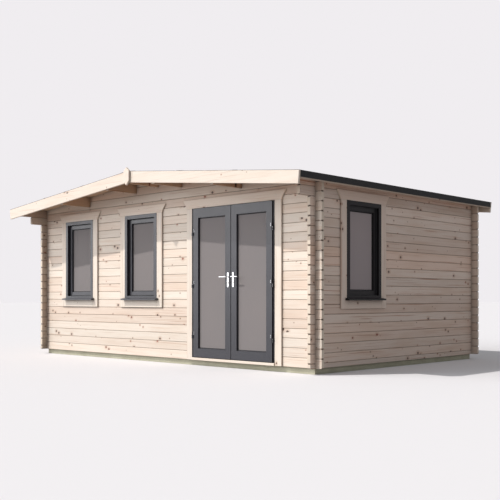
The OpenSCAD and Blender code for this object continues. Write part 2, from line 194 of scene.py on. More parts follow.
def spruce(name, grain=None, across=2, start=0.0, seed=0.0, knots=0.6, stain=0.0, joints=True,
        tint=None, vivid=1.0, corner_shade_reach=0.09):
    """Planed spruce. With grain, the axis that the grain runs along, each course of logs across
    it is a board of its own. Without, UVs give the place: x along the grain, y across it, and a
    whole number in y for each board. `vivid` strengthens the grain and the boards' differences,
    and the last argument, the reach, is how far the painted shade of joints and inside corners
    spreads."""
    g = Graph(name)
    if grain is None:
        along, y, _ = g.split(g.coordinates("UV"))
        board = g.math("FLOOR", y)
        height = g.math("SUBTRACT", y, board)
        depth = g.times(height, 0.0)
        width = BOARD_UV
    else:
        xyz = g.split(g.coordinates("Object"))
        along, depth = xyz[grain], xyz[3 - grain - across]
        row = g.math("DIVIDE", g.math("SUBTRACT", xyz[across], start), COURSE)
        board = g.math("FLOOR", row)
        height = g.times(g.math("SUBTRACT", row, board), COURSE)
        width = COURSE
        joint = g.math("MINIMUM", height, g.math("SUBTRACT", width, height))
    own = g.randoms(g.vector(board, seed, 0.5))
    far = g.math("MULTIPLY_ADD", own[0], 37.0, along)

    # Knots: one chance in each cell of each board, at times with a second knot beside it
    cells = g.node("ShaderNodeTexVoronoi", voronoi_dimensions="2D")
    cells.inputs["Scale"].default_value = 1.0
    cell_x = g.math("DIVIDE", far, KNOT_CELL)
    cell_y = g.math("MULTIPLY_ADD", board, 3.7, g.math("DIVIDE", height, width))
    g.feed(cells.inputs["Vector"], g.vector(cell_x, cell_y))
    middle = g.split(cells.outputs["Position"])
    chance = g.split(cells.outputs["Color"])
    off_x = g.times(g.math("SUBTRACT", cell_x, middle[0]), KNOT_CELL * 0.8)
    off_y = g.times(g.math("SUBTRACT", cell_y, middle[1]), width)
    radius = g.math("MULTIPLY_ADD", g.math("POWER", chance[0], 2.0), 0.014, 0.0035)
    core, halo = 0.0, 0.0
    for move_x, move_y, share in ((0.0, 0.0, knots), (0.055, -0.026, knots * 0.4)):
        there = g.math("GREATER_THAN", chance[1], 1.0 - share)
        dx, dy = g.math("SUBTRACT", off_x, move_x), g.math("SUBTRACT", off_y, move_y)
        away = g.length(dx, dy)
        inside = g.smooth(away, radius, g.times(radius, 0.8))
        around = g.smooth(away, g.times(radius, 3.2), radius)
        core = g.math("MAXIMUM", core, g.times(there, inside))
        halo = g.math("MAXIMUM", halo, g.times(there, around))

    # Growth rings, which bend round the knots
    swing = g.noise(g.vector(g.times(far, 0.8), g.times(height, 6.0),
        g.math("MULTIPLY_ADD", depth, 6.0, g.times(board, 3.1))), 1.0, 2.0)
    line = g.math("MULTIPLY_ADD", swing, 0.075, g.math("MULTIPLY_ADD", depth, 0.4, height))
    line = g.math("MULTIPLY_ADD", halo, 0.006, line)
    ring = g.bands(line, 0.0052, 2.5)

    # Streaks along the grain, and fine fibre
    streak = g.noise(g.vector(g.times(far, 1.3), g.times(height, 45.0),
        g.math("MULTIPLY_ADD", depth, 30.0, g.times(board, 7.7))), 1.0, 3.0, 0.6)
    fibre = g.noise(g.vector(g.times(far, 18.0), g.times(height, 900.0),
        g.times(depth, 900.0)), 1.0, 2.0, 0.6)
    resin = g.noise(g.vector(g.times(far, 0.9), g.times(height, 75.0),
        g.math("MULTIPLY_ADD", depth, 40.0, g.times(board, 5.3))), 1.0, 2.0, 0.6)
    cloud = g.noise(g.vector(g.times(far, 1.1), g.times(height, 9.0), board),
        1.0, 2.0)

    pale = colour(0.885, 0.80, 0.71)
    late = colour(0.64, 0.45, 0.315)
    rosy = colour(0.845, 0.69, 0.585)
    heart = colour(0.70, 0.53, 0.415)
    base = g.mix(g.smooth(own[1], 0.35, 1.0, 0.0, min(0.65 * vivid + 0.1, 1.0)), pale, rosy)
    base = g.mix(g.smooth(streak, 0.52, 0.78, 0.0, min(0.6 * vivid, 0.9)), base, heart)
    base = g.mix(g.times(ring, 0.27 * vivid), base, late)
    base = g.mix(g.smooth(cloud, 0.4, 0.75, 0.0, 0.2 * vivid), base, late)
    base = g.mix(g.smooth(resin, 0.60, 0.74, 0.0, 0.5 * vivid), base, colour(0.48, 0.26, 0.17))
    base = g.mix(g.smooth(fibre, 0.45, 0.75, 0.0, 0.12), base, late)
    shade = g.smooth(own[2], 0.0, 1.0, 0.97 - 0.05 * vivid - stain, 1.01 + 0.01 * vivid)
    if grain is not None and joints:
        dirt = g.smooth(joint, 0.0045, 0.0015, 0.0, 0.55)
        base = g.mix(dirt, base, colour(0.30, 0.20, 0.13))
    base = g.mix(1.0, base, g.vector(shade, shade, shade), "MULTIPLY")
    base = g.mix(g.times(halo, 0.36), base, colour(0.46, 0.25, 0.14))
    dark, red = colour(0.062, 0.032, 0.022), colour(0.27, 0.055, 0.03)
    knot = g.mix(g.smooth(chance[2], 0.6, 0.9), dark, red)
    base = g.mix(g.times(core, 0.92), base, knot)
    if tint:
        base = g.mix(1.0, base, colour(*tint), "MULTIPLY")

    height_map = g.math("ADD", g.times(ring, 0.5), g.times(fibre, 0.6))
    height_map = g.math("MULTIPLY_ADD", core, 0.8, height_map)
    normal = g.bump(height_map, 0.00035, 0.7)
    rough = g.math("MULTIPLY_ADD", ring, -0.10, 0.66)
    rough = g.math("MULTIPLY_ADD", core, -0.18, rough)

    if grain is not None:
        # Sawn ends: rings round a pith that lies off each log
        square = g.math("ABSOLUTE", g.split(g.coordinates("Normal"))[grain])
        end = g.math("GREATER_THAN", square, 0.7)
        pith_v = g.math("MULTIPLY_ADD", own[1], 0.10, g.math("SUBTRACT", height, 0.10))
        pith_w = g.math("ADD", depth, g.math("MULTIPLY_ADD", own[2], 0.06, -0.02))
        bend = g.noise(g.vector(height, depth, board), 30.0)
        arcs = g.bands(g.math("MULTIPLY_ADD", bend, 0.004, g.length(pith_v, pith_w)), 0.004, 2.0)
        sawn = g.mix(g.times(arcs, 0.4), SAWN_PALE, SAWN_LATE)
        sawn = g.mix(g.times(own[0], 0.22), sawn, colour(0.58, 0.43, 0.32))
        base = g.mix(end, base, sawn)
        # Painted shade: near each joint the chamfers of the log ends are darkened, as if deep in
        # shadow.
        notch_painted_shade = g.times(g.math("GREATER_THAN", square, 0.5),
            g.smooth(joint, 0.0105, 0.0065, 0.0, 0.85 if joints else 0.0))
        base = g.mix(notch_painted_shade, base, colour(0.11, 0.068, 0.042))
        rough = g.math("MAXIMUM", rough, g.times(end, 0.85))
    # Painted shade: the wood is darker in joints and inside corners.
    base = g.painted_corner_shade(base, corner_shade_reach, 0.40)
    return g.surface(Base_Color=base, Roughness=rough, Normal=normal, Specular_IOR_Level=0.35)


def sawn_end(name):
    """The end grain of boards whose place comes from UVs."""
    g = Graph(name)
    x, y, _ = g.split(g.coordinates("UV"))
    board = g.math("FLOOR", y)
    height = g.math("SUBTRACT", y, board)
    own = g.randoms(g.vector(board, 3.0, 0.5))
    pith_v = g.math("MULTIPLY_ADD", own[1], 0.12, g.math("SUBTRACT", height, 0.12))
    pith_w = g.math("MULTIPLY_ADD", own[2], 0.08, x)
    arcs = g.bands(g.length(pith_v, pith_w), 0.0035, 2.0)
    base = g.mix(g.times(arcs, 0.45), SAWN_PALE, SAWN_LATE)
    return g.surface(Base_Color=base, Roughness=0.85, Normal=g.bump(arcs, 0.0003),
        Specular_IOR_Level=0.25)


def treated_timber():
    """Rough-sawn, pressure-treated bearers."""
    g = Graph("treated_timber")
    place = g.coordinates("Object")
    x, y, z = g.split(place)
    patch = g.noise(place, 3.0, 4.0, 0.6)
    grain = g.noise(g.vector(g.times(x, 3.0), g.times(y, 3.0),
        g.times(z, 140.0)), 1.0, 3.0, 0.65)
    saw = g.noise(g.vector(g.times(g.math("ADD", x, y), 260.0),
        g.times(z, 4.0), 0.0), 1.0, 1.0)
    base = g.mix(g.smooth(patch, 0.35, 0.7), colour(0.80, 0.77, 0.59), colour(0.67, 0.64, 0.48))
    base = g.mix(g.smooth(grain, 0.45, 0.75, 0.0, 0.5), base, colour(0.46, 0.41, 0.27))
    # Painted shade: darker in joints and inside corners, such as under the logs.
    base = g.painted_corner_shade(base, 0.07, 0.32)
    normal = g.bump(g.math("MULTIPLY_ADD", grain, 0.8, saw), 0.0008, 0.7)
    return g.surface(Base_Color=base, Roughness=0.85, Normal=normal, Specular_IOR_Level=0.25)


def plastic(name, base, roughness=0.38, shine=0.40):
    """Anthracite foil with a fine grain pressed into it."""
    g = Graph(name)
    place = g.coordinates("Object")
    patch = g.noise(place, 5.0, 3.0)
    grain = g.noise(place, 900.0, 2.0, 0.6)
    tone = g.mix(g.smooth(patch, 0.3, 0.7), colour(*base), colour(*[c * 0.88 for c in base]))
    # Painted shade: darker in the recesses of frames and sashes.
    tone = g.painted_corner_shade(tone, 0.04, 0.30)
    rough = g.math("MULTIPLY_ADD", patch, 0.10, roughness - 0.05)
    return g.surface(Base_Color=tone, Roughness=rough, Normal=g.bump(grain, 0.00012, 0.5),
        Specular_IOR_Level=shine)


def gasket_rubber():
    """Black rubber, a little dusty."""
    g = Graph("gasket_rubber")
    grain = g.noise(g.coordinates("Object"), 600.0)
    tone = g.mix(grain, colour(0.012, 0.012, 0.013), colour(0.022, 0.022, 0.024))
    return g.surface(Base_Color=tone, Roughness=0.7, Normal=g.bump(grain, 0.0001),
        Specular_IOR_Level=0.3)


def satin_glass(name, near, far):
    """Obscured glass: satin grey, with a little of the room showing through."""
    g = Graph(name)
    place = g.coordinates("Object")
    haze = g.noise(place, 1.6, 2.0)
    fine = g.noise(place, 260.0, 2.0)
    tone = g.mix(haze, colour(*near), colour(*far))
    rough = g.math("MULTIPLY_ADD", fine, 0.08, 0.28)
    return g.surface(Base_Color=tone, Roughness=rough, Normal=g.bump(fine, 0.00004, 0.4),
        Specular_IOR_Level=0.02, Alpha=0.95)


def mineral_felt():
    """Roofing felt with mineral chips on a bitumen sheet."""
    g = Graph("mineral_felt")
    place = g.coordinates("Object")
    chips = g.node("ShaderNodeTexVoronoi")
    g.feed(chips.inputs["Vector"], place)
    chips.inputs["Scale"].default_value = 420.0
    own = g.split(chips.outputs["Color"])
    wear = g.noise(place, 2.2, 4.0, 0.6)
    tone = g.mix(own[0], colour(0.012, 0.012, 0.013), colour(0.042, 0.041, 0.042))
    tone = g.mix(g.smooth(wear, 0.45, 0.75, 0.0, 0.35), tone, colour(0.045, 0.044, 0.043))
    normal = g.bump(g.math("SUBTRACT", 1.0, chips.outputs["Distance"]), 0.0008, 0.6)
    return g.surface(Base_Color=tone, Roughness=0.88, Normal=normal, Specular_IOR_Level=0.3)


def bright_metal(name, base, roughness):
    """Metal with a faint uneven polish."""
    g = Graph(name)
    smear = g.noise(g.coordinates("Object"), 70.0, 3.0)
    rough = g.math("MULTIPLY_ADD", smear, 0.10, roughness)
    tone = g.mix(smear, colour(*base), colour(*[c * 0.93 for c in base]))
    return g.surface(Base_Color=tone, Metallic=1.0, Roughness=rough)


side_bottom = log_bottom - COURSE / 2  # the side walls start half a course lower
logs_front = spruce("logs_front", grain=0, start=log_bottom, seed=1.0, vivid=1.15)
# The back wall is tinted darker: painted shade for its log ends at the back corners.
logs_back = spruce("logs_back", grain=0, start=log_bottom, seed=2.0, tint=(0.90, 0.87, 0.86))
# The left wall is tinted darker and its corner shade reaches far: painted shade on the log ends at
# the front left corner.
logs_left = spruce("logs_left", grain=1, start=side_bottom, seed=3.0, vivid=1.3,
    tint=(0.84, 0.80, 0.77), corner_shade_reach=0.30)
logs_right = spruce("logs_right", grain=1, start=side_bottom, seed=4.0, vivid=2.1,
    tint=(1.03, 0.985, 0.995))
# The purlins are tinted darker and warmer: painted shade under the eaves.
purlin_wood = spruce("purlin_wood", grain=1, across=0, start=-COURSE / 2, seed=5.0, stain=0.06,
    joints=False, tint=(0.70, 0.53, 0.41))
# The eave boards are tinted darker: painted shade below the felt's edge.
eave_wood = spruce("eave_wood", grain=1, across=0, seed=6.0, joints=False,
    tint=(0.60, 0.53, 0.48))
board_wood = spruce("board_wood", seed=7.0, knots=0.45)
# The roof planks are tinted darker and warmer: painted shade and warm bounce light under the roof.
soffit_wood = spruce("soffit_wood", seed=9.0, knots=0.5, tint=(0.88, 0.70, 0.56))
trim_wood = spruce("trim_wood", seed=8.0, knots=0.3)
# A darker copy of the trim wood for the side window: painted shade.
trim_wood_shaded = spruce("trim_wood_painted_shade", seed=8.0, knots=0.3, tint=(0.95, 0.885, 0.87))
board_end = sawn_end("board_end")
treated = treated_timber()
frame_foil = plastic("frame_foil", (0.034, 0.034, 0.044), 0.33)
# A darker, duller copy of the foil for the side window: painted shade.
foil_painted_shade = plastic("frame_foil_painted_shade", (0.022, 0.020, 0.022), 0.40, 0.10)
hinge_paint = plastic("hinge_paint", (0.034, 0.034, 0.044), 0.28)
hinge_steel = bright_metal("hinge_steel", (0.19, 0.19, 0.20), 0.38)
rubber = gasket_rubber()
glass = satin_glass("satin_glass", (0.266, 0.239, 0.236), (0.242, 0.224, 0.227))
# A lighter copy of the glass for the side window: a painted reflection.
glass_painted_reflection = satin_glass("satin_glass_painted_reflection", (0.47, 0.40, 0.40), (0.42, 0.37, 0.38))
felt = mineral_felt()
chrome = bright_metal("handle_chrome", (0.80, 0.81, 0.83), 0.10)
zinc = bright_metal("nail_zinc", (0.62, 0.63, 0.64), 0.35)
brass_key = bright_metal("cylinder_face", (0.70, 0.66, 0.56), 0.25)


# ---------------------------------------------------------------- meshes


def axis_point(axis, first, second, along):
    """A point with `along` on one axis and the others in X, Y, Z order."""
    point = [first, second]
    point.insert(axis, along)
    return Vector(point)


def inset(outline, distance):
    """A convex outline moved in by a distance on every side."""
    area = sum(a[0] * b[1] - b[0] * a[1] for a, b in zip(outline, outline[1:] + outline[:1]))
    turn = 1 if area > 0 else -1
    moved = []
    for i, here in enumerate(outline):
        before, after = outline[i - 1], outline[(i + 1) % len(outline)]
        a = Vector((here[0] - before[0], here[1] - before[1])).normalized()
        b = Vector((after[0] - here[0], after[1] - here[1])).normalized()
        normal_a = Vector((-a.y, a.x)) * turn
        normal_b = Vector((-b.y, b.x)) * turn
        shift = (normal_a + normal_b) * (distance / (1 + normal_a.dot(normal_b)))
        moved.append((here[0] + shift.x, here[1] + shift.y))
    return moved


class Piece:
    """A mesh made of many small solids, each with UVs in metres."""

    def __init__(self, name, materials, seed=1):
        self.name = name
        self.materials = materials
        self.random = random.Random(seed)
        self.points = []
        self.faces = []
        self.uvs = []
        self.slots = []
        self.smooth = []
        self.boards = 0

    def face(self, indices, uvs, slot, smooth=False):
        self.faces.append(indices)
        self.uvs.extend(uvs)
        self.slots.append(slot)
        self.smooth.append(smooth)

    def rings(self, rings, grain=0, matrix=None, slots=(0, 0), smooth=False, ends=True):
        """A solid skinned over rings of points, with its ends closed. The grain runs along the
        axis `grain`, and faces square to it take the second material slot."""
        shift = self.random.uniform(0, 30)
        board = self.boards
        self.boards += 1
        first = len(self.points)
        count = len(rings[0])
        local = [Vector(point) for ring in rings for point in ring]
        low = Vector([min(p[i] for p in local) for i in range(3)])
        for point in local:
            self.points.append(matrix @ point if matrix else point)

        faces = []
        for foot in range(0, (len(rings) - 1) * count, count):
            for i in range(count):
                j = (i + 1) % count
                faces.append([foot + i, foot + j, foot + count + j, foot + count + i])
        if ends:
            last = (len(rings) - 1) * count
            faces.append(list(range(count))[::-1])
            faces.append([last + i for i in range(count)])
        near = [point - local[0] for point in local]
        volume = sum(near[f[0]].dot(near[f[i]].cross(near[f[i + 1]]))
            for f in faces for i in range(1, len(f) - 1))

        for corners in faces:
            if volume < 0:
                corners = corners[::-1]
            normal = Vector()
            for i in range(1, len(corners) - 1):
                normal += (local[corners[i]] - local[corners[0]]).cross(
                    local[corners[i + 1]] - local[corners[0]])
            facing = max(range(3), key=lambda i: abs(normal[i]))
            if facing == grain:
                u_axis, v_axis = [i for i in range(3) if i != grain]
            else:
                u_axis, v_axis = grain, 3 - grain - facing
            uvs = []
            for i in corners:
                v = min(max(local[i][v_axis] - low[v_axis], 0.0), 0.999)
                uvs.append((local[i][u_axis] - low[u_axis] + shift, board + v))
            self.face([first + i for i in corners], uvs, slots[facing == grain], smooth)

    def plate(self, outline, axis, low, high, bevel=0.0, grain=0, matrix=None, slots=(0, 0),
            back=True):
        """An outline pushed through from low to high along an axis, its face edges bevelled,
        at the high end only if `back` is true."""
        if bevel:
            small = inset(outline, bevel)
            steps = [(small, low), (outline, low + bevel)]
            steps += [(outline, high - bevel), (small, high)] if back else [(outline, high)]
        else:
            steps = [(outline, low), (outline, high)]
        rings = [[axis_point(axis, p[0], p[1], along) for p in shape] for shape, along in steps]
        self.rings(rings, grain, matrix, slots)

    def box(self, low, high, bevel=0.0, grain=0, face=1, matrix=None, slots=(0, 0),
            back=True):
        """A box whose bevelled faces look along the axis `face`."""
        a, b = [i for i in range(3) if i != face]
        outline = [(low[a], low[b]), (high[a], low[b]), (high[a], high[b]), (low[a], high[b])]
        self.plate(outline, face, low[face], high[face], bevel, grain, matrix, slots, back)

    def tube(self, path, radii, sides, squash):
        """A bar along a path of points, with a radius at each, `squash` times as tall as wide."""
        rings = []
        for i, (point, radius) in enumerate(zip(path, radii)):
            ahead = Vector(path[min(i + 1, len(path) - 1)]) - Vector(path[max(i - 1, 0)])
            ahead.normalize()
            side = ahead.cross(Vector((0, 0, 1)))
            if side.length < 0.1:
                side = ahead.cross(Vector((0, 1, 0)))
            side.normalize()
            up = side.cross(ahead)
            tall = radius * squash
            rings.append([Vector(point) + side * radius * math.cos(math.tau * k / sides)
                + up * tall * math.sin(math.tau * k / sides) for k in range(sides)])
        self.rings(rings, smooth=True)

    def dome(self, centre, normal, radius, height, sides=8, slot=0, steps=2):
        """A low round head, such as a nail's or a screw's."""
        normal = Vector(normal).normalized()
        side = normal.orthogonal().normalized()
        up = normal.cross(side)
        rings = []
        for step in range(steps + 1):
            angle = math.pi / 2 * step / (steps + 0.35)
            r = radius * math.cos(angle)
            lift = height * math.sin(angle)
            rings.append([Vector(centre) + normal * lift + side * r * math.cos(math.tau * k / sides)
                + up * r * math.sin(math.tau * k / sides) for k in range(sides)])
        self.rings(rings, 0, None, (slot, slot), smooth=True)

    def make(self, body, replaces=()):
        """The finished object, riding on a body, with a finish slot and the nodes it replaces."""
        mesh = bpy.data.meshes.new(self.name)
        mesh.from_pydata([tuple(p) for p in self.points], [], self.faces)
        for material in self.materials:
            mesh.materials.append(material)
        layer = mesh.uv_layers.new(name="grain")
        layer.data.foreach_set("uv", [c for uv in self.uvs for c in uv])
        mesh.polygons.foreach_set("material_index", self.slots)
        mesh.polygons.foreach_set("use_smooth", self.smooth)
        mesh.validate()
        mesh.update()
        made = bpy.data.objects.new(self.name, mesh)
        bpy.context.scene.collection.objects.link(made)
        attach(made, body)
        if replaces:
            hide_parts(*replaces)
        return made


# ---------------------------------------------------------------- CAD pieces that show


def paint(material, *names):
    """Gives CAD nodes one material."""
    for name in names:
        mesh = nodes[name].data
        mesh.materials.clear()
        mesh.materials.append(material)


paint(logs_front, "front_wall_left", "front_wall_right", "front_gable")
paint(logs_back, "back_wall")
paint(logs_left, "left_wall")
paint(logs_right, "right_wall")
paint(purlin_wood, "purlins")
paint(eave_wood, "eave_boards")
paint(treated, "bearers")
paint(frame_foil, "door_frame", "left_door_leaf", "right_door_leaf")
paint(glass, "left_door_glass", "right_door_glass")
paint(hinge_paint, "frame_hinges", "left_hinges", "right_hinges")
paint(chrome, "left_plates", "right_plates", "left_lever", "right_lever")
# Window 3, on the side, takes the darker foil as painted shade.
for number in (1, 2, 3):
    paint(foil_painted_shade if number == 3 else frame_foil,
        f"window_{number}_frame", f"window_{number}_sash", f"window_{number}_sill")
    # Window 3 takes the lighter glass as a painted reflection.
    paint(glass_painted_reflection if number == 3 else glass, f"window_{number}_glass")


# ---------------------------------------------------------------- trims


def wall_matrix(number):
    """A window's own frame, with its width and height: x runs along the wall from the window's
    middle, y into the wall, and z up from its foot."""
    low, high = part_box(f"window_{number}_frame")
    height = high.z - low.z
    if number == 3:
        place = Matrix.Translation((right_face, (low.y + high.y) / 2, low.z))
        return place @ Matrix.Rotation(math.pi / 2, 4, "Z"), high.y - low.y, height
    place = Matrix.Translation(((low.x + high.x) / 2, front_face, low.z))
    return place, high.x - low.x, height


TRIM_T = 0.020
TRIM_W = 0.108
TRIM_BEVEL = 0.002
HEAD_H = 0.115
FLARE = 0.072


def head_board(piece, width, z, matrix):
    """The board over an opening, which spreads out towards its top."""
    a = width / 2 + TRIM_W
    b = a + FLARE
    outline = [(-a, z), (a, z), (a + FLARE * 0.16, z + HEAD_H * 0.26), (b, z + HEAD_H),
        (-b, z + HEAD_H), (-a - FLARE * 0.16, z + HEAD_H * 0.26)]
    piece.plate(outline, 1, -TRIM_T - GAP, -GAP, TRIM_BEVEL, 0, matrix, (0, 1), back=False)


def side_boards(piece, w, foot, top, matrix):
    """The upright boards at both sides of an opening that reaches w from its middle."""
    for side in (-1, 1):
        a, b = sorted((side * w, side * (w + TRIM_W)))
        piece.box((a, -TRIM_T - GAP, foot), (b, -GAP, top), TRIM_BEVEL, 2, 1, matrix, (0, 1), False)


def trim_nails(piece, spots, matrix):
    """Nail heads on the face of a trim, at (x, z) in the opening's own frame."""
    outward = matrix.to_3x3() @ Vector((0, -1, 0))
    for x, z in spots:
        piece.dome(matrix @ Vector((x, -TRIM_T - GAP, z)), outward, 0.0028, 0.0006, 8, 2)


def window_trim(number):
    """Four boards round a window, the head board flared, with their nails."""
    matrix, width, height = wall_matrix(number)
    # The side window's trim takes the darker copy: painted shade.
    wood = trim_wood_shaded if number == 3 else trim_wood
    piece = Piece(f"window_{number}_trim_boards", [wood, board_end, zinc], 20 + number)
    w = width / 2 + GAP
    foot = -TRIM_W - GAP
    head_board(piece, width, height + 2 * GAP, matrix)
    side_boards(piece, w, foot, height + GAP, matrix)
    piece.box((-w + GAP, -TRIM_T - GAP, foot), (w - GAP, -GAP, -GAP), TRIM_BEVEL, 0, 1, matrix,
        (0, 1), False)
    spots = [(x, z) for x in (-w - TRIM_W / 2, w + TRIM_W / 2)
        for z in (0.02, 0.40, 0.80, height - 0.04)]
    spots += [(x, height + 0.06) for x in (-0.40, -0.13, 0.13, 0.40)]
    spots += [(x, -0.075) for x in (-0.22, 0.22)]
    trim_nails(piece, spots, matrix)
    piece.make("cabin", [f"window_{number}_trim"])


def door_trim():
    """The flared head board and the two side boards round the doors."""
    low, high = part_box("door_frame")
    width, height = high.x - low.x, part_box("door_trim")[1].z - HEAD_H - log_bottom
    matrix = Matrix.Translation(((low.x + high.x) / 2, front_face, log_bottom))
    piece = Piece("door_trim_boards", [trim_wood, board_end, zinc], 30)
    w = width / 2 + GAP
    head_board(piece, width, height, matrix)
    side_boards(piece, w, GAP, height - GAP, matrix)
    spots = [(x, z) for x in (-w - TRIM_W / 2, w + TRIM_W / 2)
        for z in (0.08, 0.5, 0.95, 1.4, height - 0.06)]
    spots += [(x, height + 0.06) for x in (-0.75, -0.38, 0.0, 0.38, 0.75)]
    trim_nails(piece, spots, matrix)
    piece.make("cabin", ["door_trim"])


for number in (1, 2, 3):
    window_trim(number)
door_trim()


# ---------------------------------------------------------------- roof

BOARD_T = 0.0191
PLANK_W = 0.096
boards_low, boards_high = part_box("right_roof_boards")
apex = boards_high.z
RISE = (boards_high.z - boards_low.z - BOARD_T) / (boards_high.x - boards_low.x)


def roof_z(x, up=0.0):
    """Height of the underside of the roof boards at a distance x from the ridge."""
    return apex - BOARD_T - (abs(x) - GAP / 2) * RISE + up


def roof_boards(side):
    """Planks from the ridge to the eave, with a vee along each joint below."""
    name = "right" if side > 0 else "left"
    low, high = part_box(f"{name}_roof_boards")
    near, far = sorted((abs(low.x), abs(high.x)))
    piece = Piece(f"{name}_roof_planks", [soffit_wood, board_end], 40 + side)
    count = round((high.y - low.y) / PLANK_W)
    step = (high.y - low.y) / count
    vee = 0.003
    for i in range(count):
        y0 = low.y + i * step + GAP / 2
        y1 = y0 + step - GAP
        section = [(y0 + vee, 0), (y1 - vee, 0), (y1, vee), (y1, BOARD_T), (y0, BOARD_T), (y0, vee)]
        rings = [[Vector((side * x, y, roof_z(x, z))) for y, z in section] for x in (near, far)]
        piece.rings(rings, 0, None, (0, 1))
    piece.make("cabin", [f"{name}_roof_boards"])


def roof_felt(side):
    """Strips along the roof, each lapping the one below, the first turned down over the eave."""
    name = "right" if side > 0 else "left"
    low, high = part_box(f"{name}_roof_felt")
    piece = Piece(f"{name}_felt_strips", [felt, zinc], 50 + side)
    top = BOARD_T + GAP
    thick = 0.0024
    lift = 0.0026
    laps = [roof_half, 2.030, 1.080, 0.150]  # each strip's lower edge, from the ridge
    uppers = [1.980, 1.030, 0.100, 0.0002]  # and its upper edge
    rows = 60
    eave_low, eave_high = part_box("eave_boards")

    def strip(x_low, x_high, raised):
        """One strip: x_low is its lower edge, lifted where it lies on the strip below."""
        across = [x_low, x_low - 0.02, x_low - 0.06, x_low - 0.12, (x_low + x_high) / 2, x_high]
        rings = []
        for row in range(rows + 1):
            y = low.y + (high.y - low.y) * row / rows
            wave = 0.0004 * math.sin(y * 9.0 + x_low * 5.0) * math.sin(y * 3.1 + x_low)
            under, over = [], []
            for k, x in enumerate(across):
                on_top = raised if k < 3 else 0.0
                swell = wave if 0 < k < 5 else 0.0
                under.append(Vector((side * x, y, roof_z(x, top + on_top * lift + swell))))
                over.append(Vector((side * x, y, roof_z(x, top + on_top * lift + thick + swell))))
            rings.append(under + over[::-1])
        piece.rings(rings, 1)

    for n, (x_low, x_high) in enumerate(zip(laps, uppers)):
        strip(x_low, x_high, 1.0 if n else 0.0)

    # The turned-down edge, in a gentle wave between its nails
    y0, y1 = eave_low.y, eave_high.y
    rings = []
    for row in range(rows * 2 + 1):
        y = y0 + (y1 - y0) * row / (rows * 2)
        wave = 0.0005 * (1 + math.sin(y * 21.0))
        z_top = roof_z(roof_half, top + thick)
        outer = [(roof_half, z_top), (roof_half, z_top - 0.035), (roof_half - wave, low.z)]
        inner = [(x - thick, z) for x, z in outer]
        rings.append([Vector((side * x, y, z)) for x, z in outer + inner[::-1]])
    piece.rings(rings, 1)

    # Clout nails along each lap, the gable ends and the eave
    spots = []
    slope = Vector((side * RISE, 0, 1)).normalized()
    for x in laps[1:]:
        y = low.y + 0.06
        while y < high.y - 0.04:
            z = roof_z(x - 0.022, top + lift + thick)
            spots.append((Vector((side * (x - 0.022), y, z)), slope))
            y += 0.075
    for y in (low.y + 0.012, high.y - 0.012):
        x = 0.05
        while x < roof_half - 0.02:
            spots.append((Vector((side * x, y, roof_z(x, top + thick + 0.0004))), slope))
            x += 0.10
    y = y0 + 0.05
    while y < y1:
        spot = Vector((side * roof_half - side * 0.0012, y, roof_z(roof_half, top) - 0.022))
        spots.append((spot, Vector((side, 0, 0))))
        y += 0.10
    for spot, normal in spots:
        piece.dome(spot, normal, 0.0055, 0.0012, 6, 1, 1)
    piece.make("cabin", [f"{name}_roof_felt"])


for side in (-1, 1):
    roof_boards(side)
    roof_felt(side)


BARGE_T = 0.028
NAIL_R = 0.003
NAIL_RISE = 0.0007


def bargeboards():
    """Four boards, each with its outer end cut square to the slope and its edges eased."""
    low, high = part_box("bargeboards")
    piece = Piece("barge_planks", [trim_wood, board_end, zinc], 60)
    slope = math.atan(RISE)
    tall = (high.z - low.z - RISE * (roof_half - GAP / 2)) / math.cos(slope) ** 2
    cut = roof_half - tall * math.sin(slope) * math.cos(slope)
    for y in (low.y, high.y - BARGE_T):
        out = -1 if y < 0 else 1
        for side in (-1, 1):
            upper = [(side * x, roof_z(x, BOARD_T)) for x in (GAP / 2, roof_half)]
            lower = [(side * x, roof_z(x, BOARD_T) - tall) for x in (cut, GAP / 2)]
            piece.plate(upper + lower, 1, y, y + BARGE_T, 0.002, 0)
            for x in (0.5, 1.05, 1.6, 2.15, 2.7):
                for drop in (0.03, 0.11):
                    spot = (side * x, y if y < 0 else y + BARGE_T, roof_z(x, BOARD_T) - drop)
                    piece.dome(spot, (0, out, 0), NAIL_R, NAIL_RISE, 8, 2)
    piece.make("cabin", ["bargeboards"])


def finials():
    """A pointed plate, nailed over the joint of each pair of bargeboards."""
    low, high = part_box("finials")
    piece = Piece("finial_plates", [trim_wood, board_end, zinc], 61)
    w = high.x
    shoulder, neck = low.z + 0.064, high.z - 0.045
    outline = [(0, low.z), (w, shoulder), (w, neck), (0, high.z), (-w, neck), (-w, shoulder)]
    thick, set_back = 0.027, 0.001
    for y in (low.y + set_back, high.y - set_back - thick):
        piece.plate(outline, 1, y, y + thick, 0.003, 2, None, (0, 1))
        out = -1 if y < 0 else 1
        for z in (low.z + 0.085, high.z - 0.075):
            for x in (-0.03, 0.03):
                piece.dome((x, y if y < 0 else y + thick, z), (0, out, 0), NAIL_R, NAIL_RISE, 8, 2)
    piece.make("cabin", ["finials"])


bargeboards()
finials()


# ---------------------------------------------------------------- floor and threshold


FLOOR_W = 0.112


